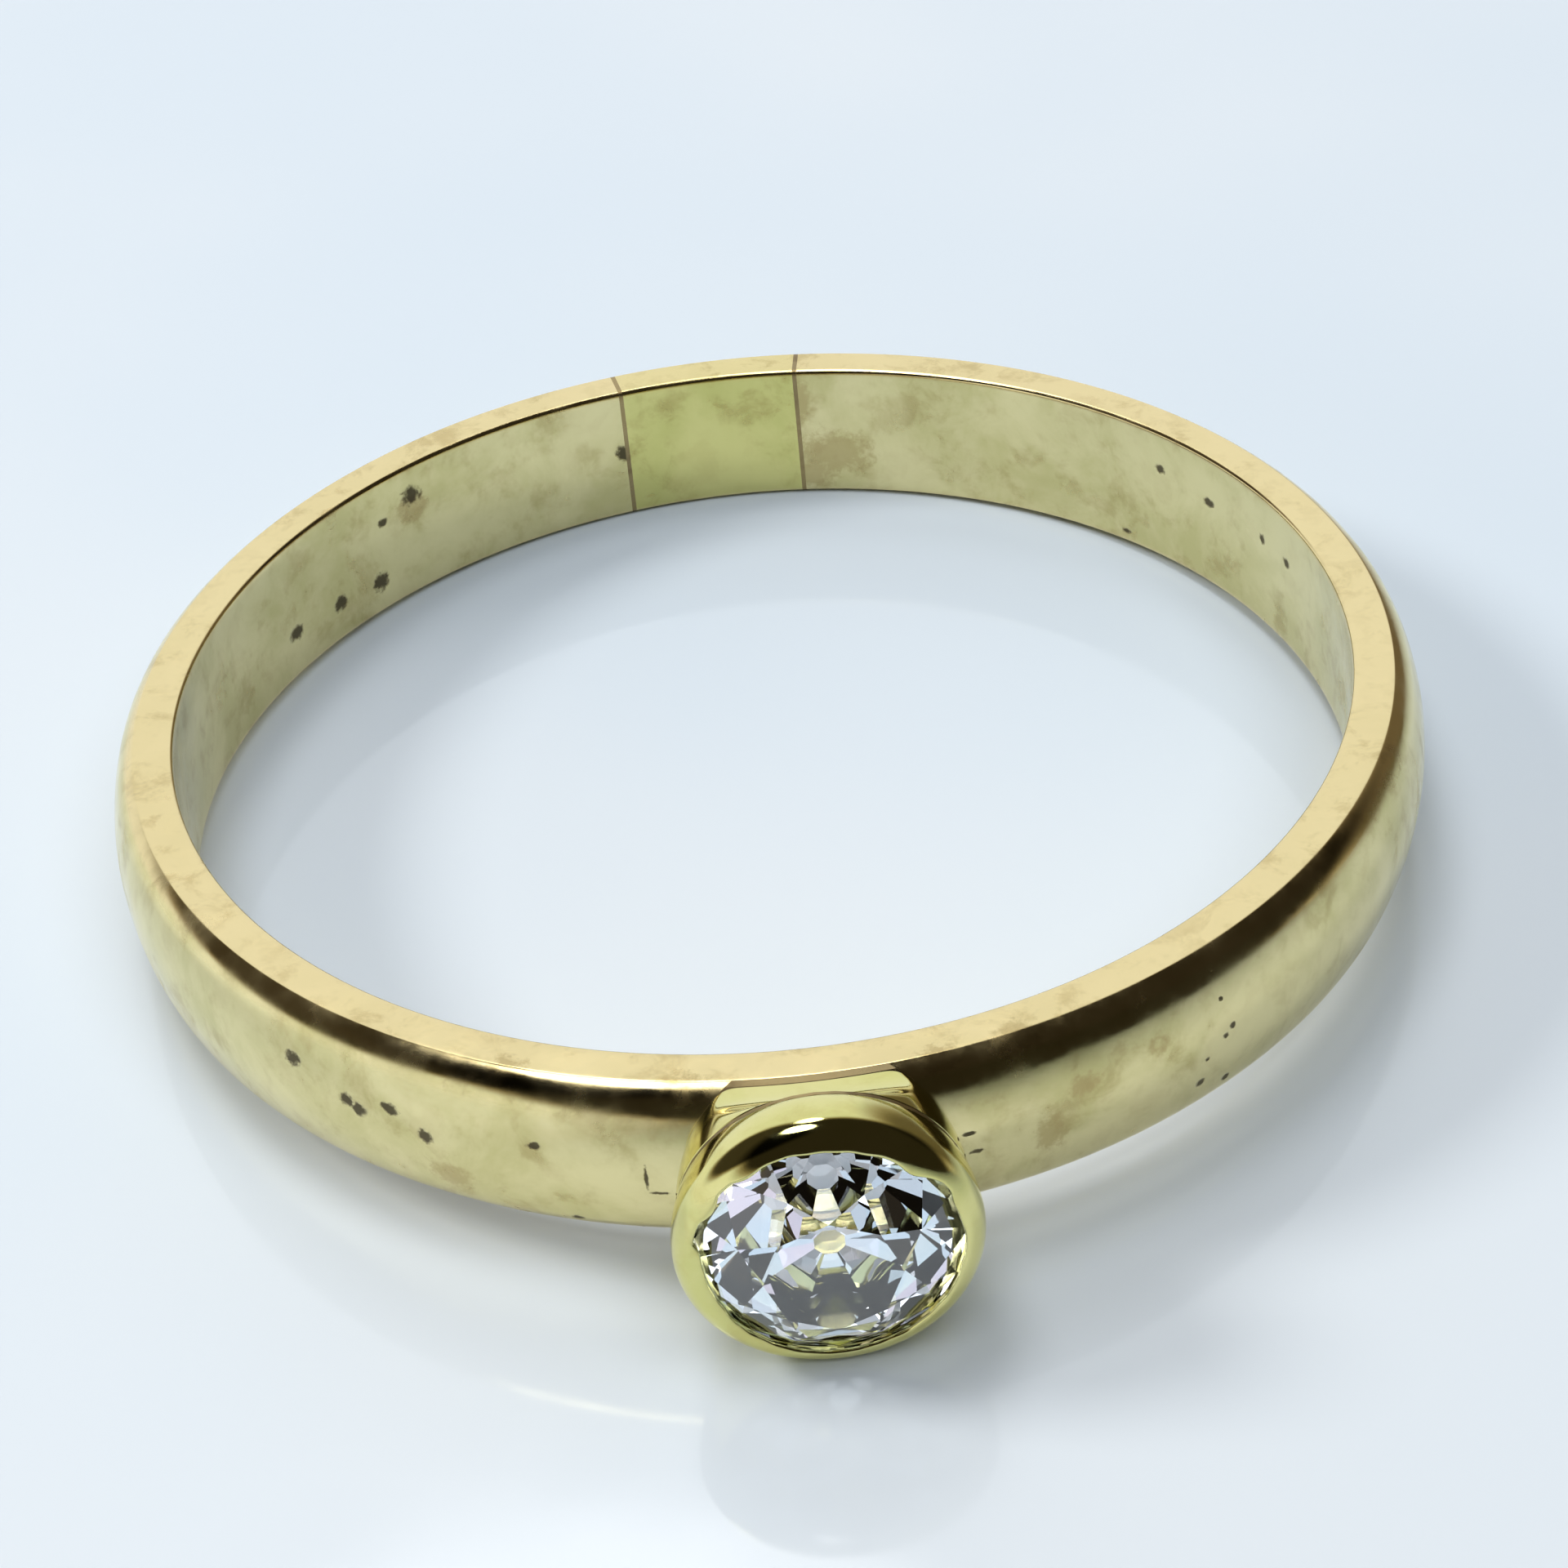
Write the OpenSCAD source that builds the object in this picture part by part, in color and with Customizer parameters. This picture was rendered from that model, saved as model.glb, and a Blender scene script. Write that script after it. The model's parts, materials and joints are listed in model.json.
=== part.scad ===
// Old-cut diamond solitaire: a D-section gold band with a rub-over (bezel) setting.
// Origin: centre of the finger hole. +Z runs along the hole, and the stone faces -Y.
// Millimetres.

/* [Band] */
// Inside diameter of the band, the finger hole
bore_d = 17.3; // [15:0.1:21]
// Width of the band at the front, under the setting
front_w = 2.5; // [2.3:0.05:2.7]
// Width of the band at the back
back_w = 2.3; // [2.1:0.05:2.5]
// Thickness of the band at the sides, over the top of its dome
crown_t = 1.02; // [0.9:0.02:1.2]
// How much thicker the front is than the sides, and the back thinner
front_gain = 0.1; // [0:0.02:0.15]
// Radius of the flat arc across the dome
dome_r = 2.6; // [2.2:0.1:4]
// Radius of the dome's two shoulders
shoulder_r = 0.56; // [0.4:0.02:0.6]
// Bevel of the two inner edges
inner_bevel = 0.1; // [0.05:0.01:0.2]

/* [Sizing insert] */
// Length of the insert, measured along the finger hole
insert_len = 2.8; // [1.5:0.1:5]
// Angle of the insert's middle from the back of the band, towards -X
insert_turn = 1.6; // [0:0.1:20]
// Thickness of each solder seam
seam_t = 0.07; // [0.04:0.01:0.1]

/* [Setting] */
// Largest diameter of the bezel rim
rim_d = 4.04; // [3.9:0.02:4.3]
// Height of the rim's foot above the dome of the band
neck_h = 0.66; // [0.6:0.02:0.9]
// Height of the rim itself
rim_h = 0.97; // [0.9:0.01:1]
// Radius of the bow in the rim's outer wall
belly_r = 1.4; // [1.2:0.1:3]
// Radius of the rolled edge that is rubbed over the stone
roll_r = 0.45; // [0.4:0.01:0.5]
// How far the rolled edge reaches over the girdle
lip_over = 0.15; // [0.1:0.01:0.18]
// Radius of the collet where its flanks meet the edges of the band
foot_r = 1.56; // [1.5:0.02:1.6]
// Thickness of the solder layers in the setting
solder_t = 0.05; // [0.03:0.01:0.06]

/* [Diamond] */
// Girdle diameter
girdle_d = 3.6; // [3.5:0.02:3.64]
// Table width as a share of the girdle diameter
table_share = 0.5; // [0.42:0.01:0.56]
// Crown angle in degrees
crown_angle = 36; // [33:0.5:40]
// Pavilion angle in degrees
pavilion_angle = 41; // [39:0.5:42]
// Width of the open culet as a share of the girdle diameter
culet_share = 0.11; // [0.05:0.01:0.13]
// Thickness of the girdle
girdle_t = 0.07; // [0.04:0.01:0.1]

/* [Hidden] */
$fn = 160;
fine_fn = 96;                                     // segments of the small turned parts
over = 0.5;                                       // overshoot of cutting shapes

// Band: the outside is turned about an axis moved front_gain towards the stone
bore_r = bore_d / 2;
half_w = front_w / 2;
turned_r = bore_r + crown_t;                      // radius of the dome's top line
front_r = turned_r + front_gain;                  // reach of the dome at the front
reach = 2 * bore_r;                               // well outside the band
dome_c = turned_r - dome_r;                       // centre of the dome's flat arc
side_trim = 0.02;                                 // the side faces take this off the shoulders
turned_half_w = half_w + side_trim;
shoulder_z = turned_half_w - shoulder_r;
shoulder_x = dome_c + sqrt(pow(dome_r - shoulder_r, 2) - pow(shoulder_z, 2));
taper = (front_w - back_w) / 2 / (2 * turned_r);  // change of the half width along Y

// Sizing insert: angles from +X, the back of the band is at 90
insert_span = insert_len / bore_r * 180 / PI;
seam_span = seam_t / bore_r * 180 / PI;
insert_start = 90 + insert_turn - insert_span / 2;
insert_end = insert_start + insert_span;
shank_start = insert_end + seam_span;
shank_span = 360 - insert_span - 2 * seam_span;

// Setting: radii from the setting's own axis, heights from the centre of the finger hole
rim_r = rim_d / 2;
rim_foot = front_r + neck_h;
rim_top = rim_foot + rim_h;
belly_h = rim_top - roll_r;                       // where the rim is widest
rim_foot_r = rim_r - belly_r + sqrt(pow(belly_r, 2) - pow(belly_h - rim_foot, 2));
collet_top = rim_foot - solder_t;
flank_rise = 0.45;                                // of the flanks' foot above the finger hole
flank_low = bore_r + flank_rise;
flank_run = collet_top - flank_low;
flank_drop = rim_foot_r - foot_r;
flank_r = (flank_run * flank_run + flank_drop * flank_drop) / (2 * flank_drop);
scoop_drop = 0.4;                                 // of the scoops' start below the dome
scoop_start = front_r - scoop_drop;
scoop_run = collet_top - scoop_start;
scoop_rise = rim_foot_r - half_w;
scoop_r = (scoop_run * scoop_run + scoop_rise * scoop_rise) / (2 * scoop_rise);

// Diamond
girdle_r = girdle_d / 2;
stone_play = 0.01;                                // the girdle stands this clear of the rim
rim_bore_r = girdle_r + stone_play;
table_r = girdle_r * table_share;
star_share = 0.7;                                 // where the star facets end
lower_share = 0.52;                               // where the lower girdle facets end
star_r = girdle_r * star_share;
lower_r = girdle_r * lower_share;
culet_r = girdle_r * culet_share;
crown_h = (girdle_r - table_r) * tan(crown_angle);
star_h = (girdle_r - star_r * cos(22.5)) * tan(crown_angle);
lower_d = (girdle_r - lower_r * cos(22.5)) * tan(pavilion_angle);
pavilion_d = (girdle_r - culet_r) * tan(pavilion_angle);
lip_r = girdle_r - lip_over;                      // opening of the rolled edge
lip_t = 0.19;                                     // thickness of the rolled edge at its opening
lip_top = belly_h + sqrt(pow(roll_r, 2) - pow(lip_r - rim_r + roll_r, 2));
girdle_top = lip_top - lip_t - lip_over * tan(crown_angle);
girdle_base = girdle_top - girdle_t;
culet_h = girdle_base - pavilion_d;

// Hollow under the stone, and the ring that the stone rests on
well_play = 0.12;                                 // room round the pavilion
seat_step = 0.06;                                 // of the bearing ring back from the well
well_top_r = girdle_r - (girdle_base - collet_top) / tan(pavilion_angle) + well_play;
well_end_r = culet_r + well_play;
well_end = culet_h - well_play;
bearing_in_r = well_top_r + seat_step;

// Half section of the turned outside: two shoulders joined by the flat arc of the dome
module dome_section(raised = 0) {
    shoulder_a = atan2(shoulder_z, shoulder_x - dome_c);
    far = dome_r + raised + over;
    union() {
        translate([0, -turned_half_w - raised]) square([shoulder_x, 2 * (turned_half_w + raised)]);
        for (side = [-1, 1])
            translate([shoulder_x, side * shoulder_z]) circle(r = shoulder_r + raised, $fn = 64);
        intersection() {
            translate([dome_c, 0]) circle(r = dome_r + raised);
            polygon([[dome_c, 0], [dome_c + far, -far * tan(shoulder_a)],
                     [dome_c + far, far * tan(shoulder_a)]]);
        }
    }
}

// Everything inside the outer surface of the band, raised by the given amount
module turned_outside(raised = 0) {
    translate([0, -front_gain, 0]) rotate_extrude() dome_section(raised);
}

// Side view between the band's two side faces, wider at the front than at the back
module width_wedge() {
    rotate([90, 0, 90]) linear_extrude(height = 2 * reach, center = true)
        polygon([for (p = [[-1, -1], [1, -1], [1, 1], [-1, 1]])
            [p[0] * reach, p[1] * (half_w - (p[0] * reach + turned_r) * taper)]]);
}

// The finger hole with its two bevelled edges, tilted with the side faces
module finger_hole() {
    mid_w = half_w - turned_r * taper;
    cylinder(r = bore_r, h = 2 * reach, center = true);
    for (side = [-1, 1])
        mirror([0, 0, side < 0 ? 1 : 0]) rotate([-atan(taper), 0, 0])
            translate([0, 0, mid_w - inner_bevel])
                cylinder(r1 = bore_r - over, r2 = bore_r + over, h = 2 * over, center = true);
}

// The whole closed hoop that the shank, the insert and the seams are cut from
module hoop() {
    difference() {
        intersection() {
            turned_outside();
            width_wedge();
        }
        finger_hole();
    }
}

// A stretch of the hoop from one angle over a span
module hoop_part(start, span) {
    steps = span > 90 ? 8 : 1;
    intersection() {
        hoop();
        linear_extrude(height = 2 * front_w, center = true)
            polygon([[0, 0], for (i = [0:steps])
                reach * [cos(start + span * i / steps), sin(start + span * i / steps)]]);
    }
}

// Turns the setting's own axis from +Z to -Y
module on_setting_axis() {
    rotate([90, 0, 0]) children();
}

// The hollow under the stone: it follows the pavilion and ends below the culet
module stone_well() {
    on_setting_axis() rotate_extrude($fn = fine_fn)
        polygon([[0, well_end], [well_end_r, well_end], [well_top_r, collet_top],
                 [well_top_r, rim_foot + over], [0, rim_foot + over]]);
}

// Outside of the collet: bowed flanks, scooped away above and below the band
module collet_body() {
    intersection() {
        on_setting_axis() rotate_extrude($fn = fine_fn) intersection() {
            translate([0, bore_r]) square([rim_foot_r, collet_top - bore_r]);
            translate([rim_foot_r - flank_r, collet_top]) circle(r = flank_r);
        }
        rotate([90, 0, 90]) linear_extrude(height = 2 * rim_d, center = true) collet_side();
    }
}

// Side view of the collet: as wide as the band at its foot, as wide as the rim at its top
module collet_side() {
    difference() {
        translate([-collet_top, -rim_r]) square([collet_top - bore_r, rim_d]);
        for (side = [-1, 1]) scale([1, side]) {
            translate([-scoop_start, half_w + scoop_r]) circle(r = scoop_r);
            translate([-scoop_start, half_w]) square([scoop_start, rim_d]);
        }
    }
}

// Band with its open back and the well for the culet
module shank() {
    color("#d8c878") difference() {
        hoop_part(shank_start, shank_span);
        stone_well();
    }
}

// Short piece let in at the back when the ring was made larger
module sizing_insert() {
    color("#cfc468") hoop_part(insert_start, insert_span);
}

// Thin wall of solder on the left of the insert
module insert_solder_left() {
    color("#6e6238") hoop_part(insert_end, seam_span);
}

// Thin wall of solder on the right of the insert
module insert_solder_right() {
    color("#6e6238") hoop_part(insert_start - seam_span, seam_span);
}

// Cup that stands on the band and carries the rim
module collet() {
    color("#c8bb52") difference() {
        collet_body();
        turned_outside(solder_t);
        stone_well();
    }
}

// Saddle of solder between the band and the collet
module collet_solder() {
    color("#8a7d40") difference() {
        intersection() {
            collet_body();
            turned_outside(solder_t);
            width_wedge();
        }
        turned_outside();
        stone_well();
    }
}

// Flat ring of solder between the collet and the rim
module rim_solder() {
    color("#8a7d40") on_setting_axis() translate([0, 0, collet_top]) difference() {
        cylinder(r = rim_foot_r, h = solder_t, $fn = fine_fn);
        translate([0, 0, -over]) cylinder(r = well_top_r, h = solder_t + 2 * over, $fn = fine_fn);
    }
}

// Inner ring with the sloped seat that the stone rests on
module bearing_ring() {
    seat_drop = (girdle_r - bearing_in_r) * tan(pavilion_angle);
    color("#c8bb52") on_setting_axis() rotate_extrude($fn = fine_fn)
        polygon([[bearing_in_r, rim_foot], [rim_bore_r, rim_foot], [rim_bore_r, girdle_base],
                 [girdle_r, girdle_base], [bearing_in_r, girdle_base - seat_drop]]);
}

// Rim with a bowed wall, its edge rolled over the stone
module bezel_rim() {
    color("#d2c65a") on_setting_axis() rotate_extrude($fn = fine_fn) difference() {
        union() {
            intersection() {
                translate([0, rim_foot]) square([rim_r, belly_h - rim_foot]);
                translate([rim_r - belly_r, belly_h]) circle(r = belly_r);
            }
            translate([0, belly_h - solder_t]) square([rim_r - roll_r, roll_r + solder_t]);
            intersection() {
                translate([0, belly_h]) square([rim_r, roll_r]);
                translate([rim_r - roll_r, belly_h]) circle(r = roll_r);
            }
        }
        rim_hollow_section();
    }
}

// Room for the bearing ring and the stone, up to the opening of the rolled edge
module rim_hollow_section() {
    under_lip = girdle_top + lip_over * tan(crown_angle);
    polygon([[0, rim_foot - over], [rim_bore_r, rim_foot - over], [rim_bore_r, girdle_top],
             [girdle_r, girdle_top], [lip_r, under_lip], [lip_r, rim_top + over],
             [0, rim_top + over]]);
}

// A ring of eight points: radius, height and angle of the first one
function eight(r, h, a = 0) = [for (i = [0:7]) [r * cos(a + 45 * i), r * sin(a + 45 * i), h]];

// Old European cut: table, 8 stars, 8 kites, 16 upper facets, 16 lower facets, 8 mains, culet
module diamond() {
    points = concat(
        eight(table_r, girdle_top + crown_h), eight(star_r, girdle_top + star_h, 22.5),
        eight(girdle_r, girdle_top), eight(girdle_r, girdle_top, 22.5),
        eight(girdle_r, girdle_base), eight(girdle_r, girdle_base, 22.5),
        eight(lower_r, girdle_base - lower_d, 22.5), eight(culet_r / cos(22.5), culet_h, 22.5));
    faces = concat(
        [[for (i = [7:-1:0]) i]],
        [for (i = [0:7]) each let (j = (i + 1) % 8, k = (i + 7) % 8) [
            [j, 8 + i, i],                            // star
            [i, 8 + i, 16 + i, 8 + k],                // kite
            [8 + i, 24 + i, 16 + i],                  // upper girdle facets
            [8 + i, 16 + j, 24 + i],
            [24 + i, 40 + i, 32 + i, 16 + i],         // girdle
            [16 + j, 32 + j, 40 + i, 24 + i],
            [40 + i, 48 + i, 32 + i],                 // lower girdle facets
            [32 + j, 48 + i, 40 + i],
            [32 + i, 48 + i, 56 + i, 56 + k, 48 + k]  // pavilion main
        ]],
        [[for (i = [0:7]) 56 + i]]);
    color("#e4ecf4", 0.7) on_setting_axis() polyhedron(points = points, faces = faces);
}

shank();
sizing_insert();
insert_solder_left();
insert_solder_right();
collet();
collet_solder();
rim_solder();
bearing_ring();
bezel_rim();
diamond();
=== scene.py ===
# %% [markdown]
# # An old-cut diamond solitaire
#
# The ring is a plain gold band with a domed outside, a scooped collet that
# stands on it, and a rub-over rim that holds an old-cut diamond. A short piece
# was let in at the back when the ring was made larger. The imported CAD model
# gives every place and size; this file makes finer surfaces and real finishes.

# %% Load the frame
import json
import math

import bmesh
import bpy
import numpy as np
from mathutils import Matrix, Vector


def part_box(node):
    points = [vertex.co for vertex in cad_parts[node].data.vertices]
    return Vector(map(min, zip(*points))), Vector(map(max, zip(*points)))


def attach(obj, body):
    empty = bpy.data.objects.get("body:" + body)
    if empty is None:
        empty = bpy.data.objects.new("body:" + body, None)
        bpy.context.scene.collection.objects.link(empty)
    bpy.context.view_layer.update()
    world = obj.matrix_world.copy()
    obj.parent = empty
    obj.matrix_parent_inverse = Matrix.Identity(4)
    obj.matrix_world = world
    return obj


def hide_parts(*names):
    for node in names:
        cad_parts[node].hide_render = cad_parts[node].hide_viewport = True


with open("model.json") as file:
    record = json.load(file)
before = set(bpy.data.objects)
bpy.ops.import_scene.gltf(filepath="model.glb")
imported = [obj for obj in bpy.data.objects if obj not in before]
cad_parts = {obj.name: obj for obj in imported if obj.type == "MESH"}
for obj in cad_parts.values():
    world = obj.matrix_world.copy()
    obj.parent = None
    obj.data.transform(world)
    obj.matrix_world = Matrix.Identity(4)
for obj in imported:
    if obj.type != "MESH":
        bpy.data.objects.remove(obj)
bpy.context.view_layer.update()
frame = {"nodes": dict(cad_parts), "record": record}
MM = 0.001

# %% [markdown]
# ## The sizes that everything hangs on
#
# A goldsmith measures a ring from its finger hole outwards. The hole's radius
# comes from the record's mount, and the heights of the setting come from the
# boxes of the CAD nodes. The stone faces -Y, so a height is a distance along -Y.

# %% Sizes read from the frame
def height_span(node):
    """Lowest and highest distance of a node from the finger hole's axis, along -Y."""
    low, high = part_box(node)
    return -high[1], -low[1]


def width_of(node, axis):
    """Size of a node's box along one axis."""
    low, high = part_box(node)
    return high[axis] - low[axis]


mount = frame["record"]["mounts"][0]
bore_r = mount["dims"]["r_mm"] * MM
turned_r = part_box("shank")[1][0]                    # radius of the dome's top line
back_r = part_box("sizing_insert")[1][1]              # reach of the dome at the back
front_gain = turned_r - back_r                      # the outside is turned about an axis this far forward
front_r = turned_r + front_gain                     # reach of the dome at the front
front_w = width_of("shank", 2)
rim_foot, rim_top = height_span("bezel_rim")
rim_r = width_of("bezel_rim", 0) / 2
collet_top = height_span("collet")[1]
culet_h, table_h = height_span("diamond")
girdle_r = width_of("diamond", 0) / 2
solder_t = rim_foot - collet_top
print("bore", bore_r / MM, "front", front_r / MM, "rim", rim_r / MM, "stone", girdle_r / MM)

# %% [markdown]
# ## The camera
#
# A ring lying down is usually looked at from above and in front, from so near
# that its back is clearly smaller than its front. A long lens from about five
# ring widths away keeps that perspective gentle. The picture is turned a few
# degrees, as when a camera is held by hand.

# %% Camera
def aim(eye, target, roll):
    """Rotation that looks from eye to target, with the picture turned by roll."""
    forward = (target - eye).normalized()
    right = forward.cross(Vector((0, 0, 1))).normalized()
    up = right.cross(forward)
    across = right * math.cos(roll) + up * math.sin(roll)
    upward = up * math.cos(roll) - right * math.sin(roll)
    return Matrix((across, upward, -forward)).transposed()


lens_data = bpy.data.cameras.new("camera")
lens_data.lens = 95.1
lens_data.sensor_width = 36
lens_data.clip_start, lens_data.clip_end = 0.005, 5
camera = bpy.data.objects.new("camera", lens_data)
eye = Vector((-0.67, -50.1, 35.86)) * MM
looked_at = Vector((0.21, 0.41, -1.16)) * MM
camera.matrix_world = Matrix.Translation(eye) @ aim(eye, looked_at, math.radians(-5.77)).to_4x4()
bpy.context.collection.objects.link(camera)
bpy.context.scene.camera = camera
print("camera is", round((eye - looked_at).length / MM, 1), "mm away")

# %% [markdown]
# ## Helpers for surfaces
#
# Every piece of gold here is one closed skin over a grid of points: rows run
# one way and columns the other. Joining each point to its neighbours gives
# four-sided faces. Where a loop of the grid comes back to its start, the last
# row joins the first, so no edge is left open. Shading is smooth, except at
# folds sharper than 50 degrees, which stay crisp.

# %% Grids into meshes
def grid_faces(rows, cols, wrap_rows=False, wrap_cols=False):
    """Quads between neighbours of a rows x cols grid, closed on itself where wrapped."""
    r = np.arange(rows if wrap_rows else rows - 1)
    c = np.arange(cols if wrap_cols else cols - 1)
    r, c = [a.ravel() for a in np.meshgrid(r, c, indexing="ij")]
    r2, c2 = (r + 1) % rows, (c + 1) % cols
    return np.stack([r * cols + c, r * cols + c2, r2 * cols + c2, r2 * cols + c], axis=1)


def enclosed(mesh):
    """Volume inside a closed mesh, below 0 if it is inside out: a . (b x c) / 6 over its triangles."""
    mesh.calc_loop_triangles()
    corners = np.empty(len(mesh.loop_triangles) * 3, np.int32)
    mesh.loop_triangles.foreach_get("vertices", corners)
    place = np.empty(len(mesh.vertices) * 3)
    mesh.vertices.foreach_get("co", place)
    a, b, c = place.reshape(-1, 3)[corners.reshape(-1, 3).T]
    return (a * np.cross(b, c)).sum() / 6


# %% Grids into pieces
crisp_fold = math.radians(50)


def make_piece(name, points, quads, caps=()):
    """Object from points (n x 3, metres), quads (m x 4) and closing polygons, faces outwards."""
    mesh = bpy.data.meshes.new(name)
    corners = np.concatenate([quads.ravel(), *[np.asarray(c) for c in caps]]).astype(np.int32)
    sizes = np.array([4] * len(quads) + [len(c) for c in caps], np.int32)
    mesh.vertices.add(len(points))
    mesh.vertices.foreach_set("co", np.ascontiguousarray(points, np.float32).ravel())
    mesh.loops.add(len(corners))
    mesh.loops.foreach_set("vertex_index", corners)
    mesh.polygons.add(len(sizes))
    mesh.polygons.foreach_set("loop_start", np.concatenate([[0], np.cumsum(sizes)[:-1]]).astype(np.int32))
    mesh.update(calc_edges=True)
    mesh.validate()
    if enclosed(mesh) < 0:
        mesh.flip_normals()
    mesh.polygons.foreach_set("use_smooth", np.ones(len(sizes), bool))
    mesh.set_sharp_from_angle(angle=crisp_fold)
    piece = bpy.data.objects.new(name, mesh)
    bpy.context.collection.objects.link(piece)
    low, high = points.min(0) / MM, points.max(0) / MM
    volume = round(enclosed(mesh) / MM ** 3, 3)
    print(name, len(sizes), "faces,", volume, "mm3,", low.round(2), high.round(2))
    return piece


# %% Curves in a section
def even_along(path, count):
    """A polyline (n x 2) resampled to count points evenly spaced along its length."""
    steps = np.r_[0, np.cumsum(np.linalg.norm(np.diff(path, axis=0), axis=1))]
    at = np.linspace(0, steps[-1], count)
    return np.stack([np.interp(at, steps, path[:, k]) for k in (0, 1)], axis=1)


def arc(centre, radius, start, end, count=24):
    """Points on a circle's arc, angles in degrees."""
    a = np.radians(np.linspace(start, end, count))
    return np.stack([centre[0] + radius * np.cos(a), centre[1] + radius * np.sin(a)], axis=1)

# %% [markdown]
# ## The band as one formula
#
# A D-section band is flat inside and domed outside. In its section the dome is
# a flat arc that runs into two tighter shoulders, and the side faces cut the
# shoulders off. A lathe gives such a hoop; the outside here is turned about an
# axis a tenth of a millimetre further forward, so the band grows thicker
# towards the stone. Working the points out with numpy gives the shank, the
# insert and the two solder seams from the same formula, cut at other angles,
# so they meet exactly.

# %% Section of the band
dome_r = 2.6 * MM                                   # flat arc across the dome
shoulder_r = 0.56 * MM                              # the two shoulders
bevel = 0.07 * MM                                   # worn inner edges
trim = 0.02 * MM                                    # the side faces take this off the shoulders
dome_c = turned_r - dome_r
shoulder_z = front_w / 2 + trim - shoulder_r
shoulder_x = dome_c + math.sqrt((dome_r - shoulder_r) ** 2 - shoulder_z ** 2)
join_z = shoulder_z * dome_r / (dome_r - shoulder_r)   # where dome and shoulder touch


def dome_radius(z, raised=0.0):
    """Radius of the turned outside at height z.

    sqrt(R^2 - z^2) from the arc's own centre: the dome's inside join_z, the
    shoulder's outside it. raised moves the whole surface outwards.
    """
    z = np.abs(z)
    flat = dome_c + np.sqrt(np.maximum((dome_r + raised) ** 2 - z ** 2, 0))
    tight = np.sqrt(np.maximum((shoulder_r + raised) ** 2 - np.maximum(z - shoulder_z, 0) ** 2, 0))
    return np.where(z < join_z * (1 + raised / dome_r), flat, shoulder_x + tight)


back_w = width_of("sizing_insert", 2)
taper = (front_w - back_w) / 2 / (2 * (bore_r + bevel))
print("shoulder centre", shoulder_x / MM, shoulder_z / MM, "back width", back_w / MM)

# %% [markdown]
# ## The culet's pocket and the softening of edges
#
# The setter drills into the band under the stone so that its point has room.
# The pocket is a cone: inside its rim the surface may not stand higher than
# the cone does. Sharp corners of the section are then softened by averaging
# every point with its neighbours round the section, which is what years of
# wear do to a real edge.

# %% Pocket and wear
culet_play = 0.12 * MM                              # room left round the culet
pavilion_slope = math.tan(math.radians(41))
culet_r = 0.11 * girdle_r
well_end, well_end_r = culet_h - culet_play, culet_r + culet_play
well_top_r = 1.18 * MM
well_slope = (collet_top - well_end) / (well_top_r - well_end_r)


def well_height(rho):
    """Height of the pocket's cone at distance rho from the setting's axis."""
    return well_end + np.maximum(rho - well_end_r, 0) * well_slope


def soften(points, times=2):
    """Each point of a closed loop (axis 1) becomes (left + 2 x itself + right) / 4."""
    for _ in range(times):
        points = (np.roll(points, 1, axis=1) + 2 * points + np.roll(points, -1, axis=1)) / 4
    return points


def waver(turn, z):
    """A hand-finished surface's slow waves, from 0 down to -1, never outwards."""
    waves = (np.sin(5 * turn + 1.3) + np.sin(11 * turn + 900 * z) + np.sin(23 * turn - 1700 * z + 2)
             + np.sin(37 * turn + 2600 * z + 4))
    return waves / 8 - 0.5


wave_depth = 0.006 * MM
print("pocket from", round(well_end / MM, 2), "mm up, culet", round(2 * culet_r / MM, 2), "mm across")

# %% A stretch of the band
def band_points(turns):
    """Closed sections of the band at the given turns (radians, 0 at the stone, towards +X).

    A point of the outside at height z lies where a ray from the hole's centre
    meets the circle of radius dome_radius(z) about the shifted axis:
    t = g cos(turn) + sqrt(R^2 - g^2 sin(turn)^2), g being the shift.
    """
    turn = np.asarray(turns)[:, None]
    half = (front_w + back_w) / 4 + taper * bore_r * np.cos(turn)
    s = np.sin(np.linspace(-1, 1, 72)[None] * math.pi / 2)
    z = half * s
    radius = dome_radius(z) + wave_depth * waver(turn, z) * np.cos(s * math.pi / 2)
    out = front_gain * np.cos(turn) + np.sqrt(radius ** 2 - (front_gain * np.sin(turn)) ** 2)
    side = np.linspace(0, 1, 12)[None, 1:-1]
    side_r = out[:, -1:] + (bore_r + bevel - out[:, -1:]) * side
    edge = np.linspace(0, math.pi / 2, 6)[None]
    edge_r = bore_r + bevel * (1 - np.sin(edge)) + 0 * turn
    edge_z = half - bevel * (1 - np.cos(edge))
    inner = np.linspace(1, -1, 26)[None, 1:-1]
    inner_z = (half - bevel) * inner
    flat = half + 0 * side_r
    r = np.concatenate([out, side_r, edge_r, bore_r + 0 * inner_z, edge_r[:, ::-1], side_r[:, ::-1]], 1)
    h = np.concatenate([z, flat, edge_z, inner_z, -edge_z[:, ::-1], -flat], 1)
    points = np.stack([r * np.sin(turn), -r * np.cos(turn), h], axis=2)
    points = soften(points)
    rho = np.hypot(points[..., 0], points[..., 2])
    sunk = (points[..., 1] < -well_end) & (rho < well_top_r)
    points[..., 1] = np.where(sunk, np.maximum(points[..., 1], -well_height(rho)), points[..., 1])
    return points


def make_band(name, turns):
    """A stretch of the band with a flat end at each side, as one closed skin."""
    points = band_points(turns)
    rows, cols, _ = points.shape
    quads = grid_faces(rows, cols, wrap_cols=True)
    ends = [np.arange(cols)[::-1], np.arange((rows - 1) * cols, rows * cols)]
    return make_piece(name, points.reshape(-1, 3), quads, ends)

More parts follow.
